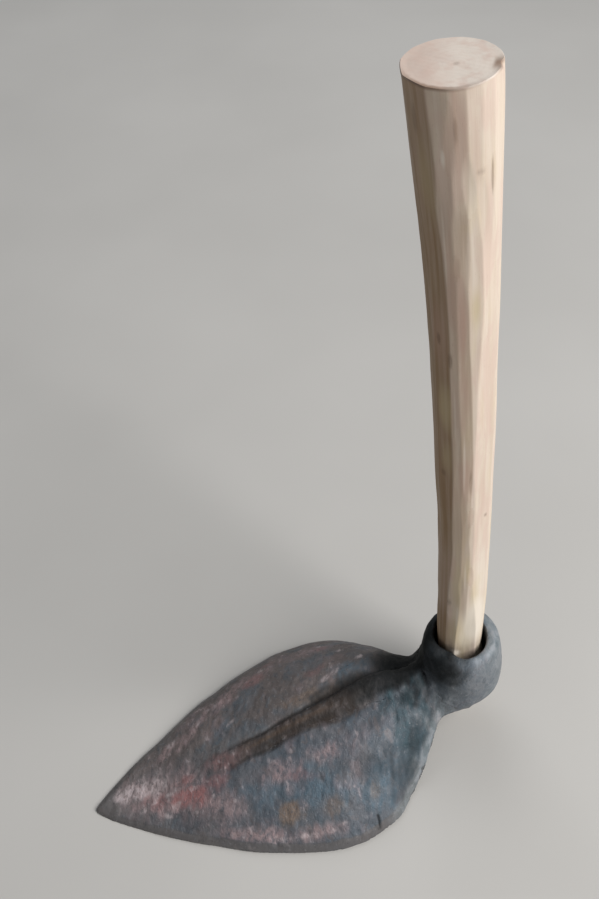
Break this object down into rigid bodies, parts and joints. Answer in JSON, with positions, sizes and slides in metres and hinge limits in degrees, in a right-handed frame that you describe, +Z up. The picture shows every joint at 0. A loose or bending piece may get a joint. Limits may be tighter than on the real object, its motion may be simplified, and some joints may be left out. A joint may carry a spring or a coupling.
{
  "type": "garden hoe",
  "caption": "Short-handled garden hoe: a forged leaf-shaped, domed blade with a raised rib and a ring eye, wedged on a whittled wooden stick.",
  "frame": {"origin": "on the ground, under the middle of the whole hoe as it stands on its blade's edge", "axes": "+Z up, roughly along the handle; -X towards the blade's tip, +X towards the eye; Y across the blade"},
  "size_m": [0.2936, 0.159, 0.4868],
  "materials": {
    "iron_blade": "hand-forged, hammered and pitted, grey and pinkish-brown patina",
    "iron_rib": "hand-forged, brown patina, smoother along its crest",
    "iron_eye": "hand-forged, blue-grey, worn smooth at the rim",
    "stick_wood": "bare, whittled with a drawknife, pale with brown shaded flats",
    "wedge_wood": "bare, split"
  },
  "bodies": {
    "root": {"blade": "iron_blade", "spine": "iron_rib", "eye_ring": "iron_eye", "handle": "stick_wood", "handle_wedge": "wedge_wood"}
  },
  "joints": []
}
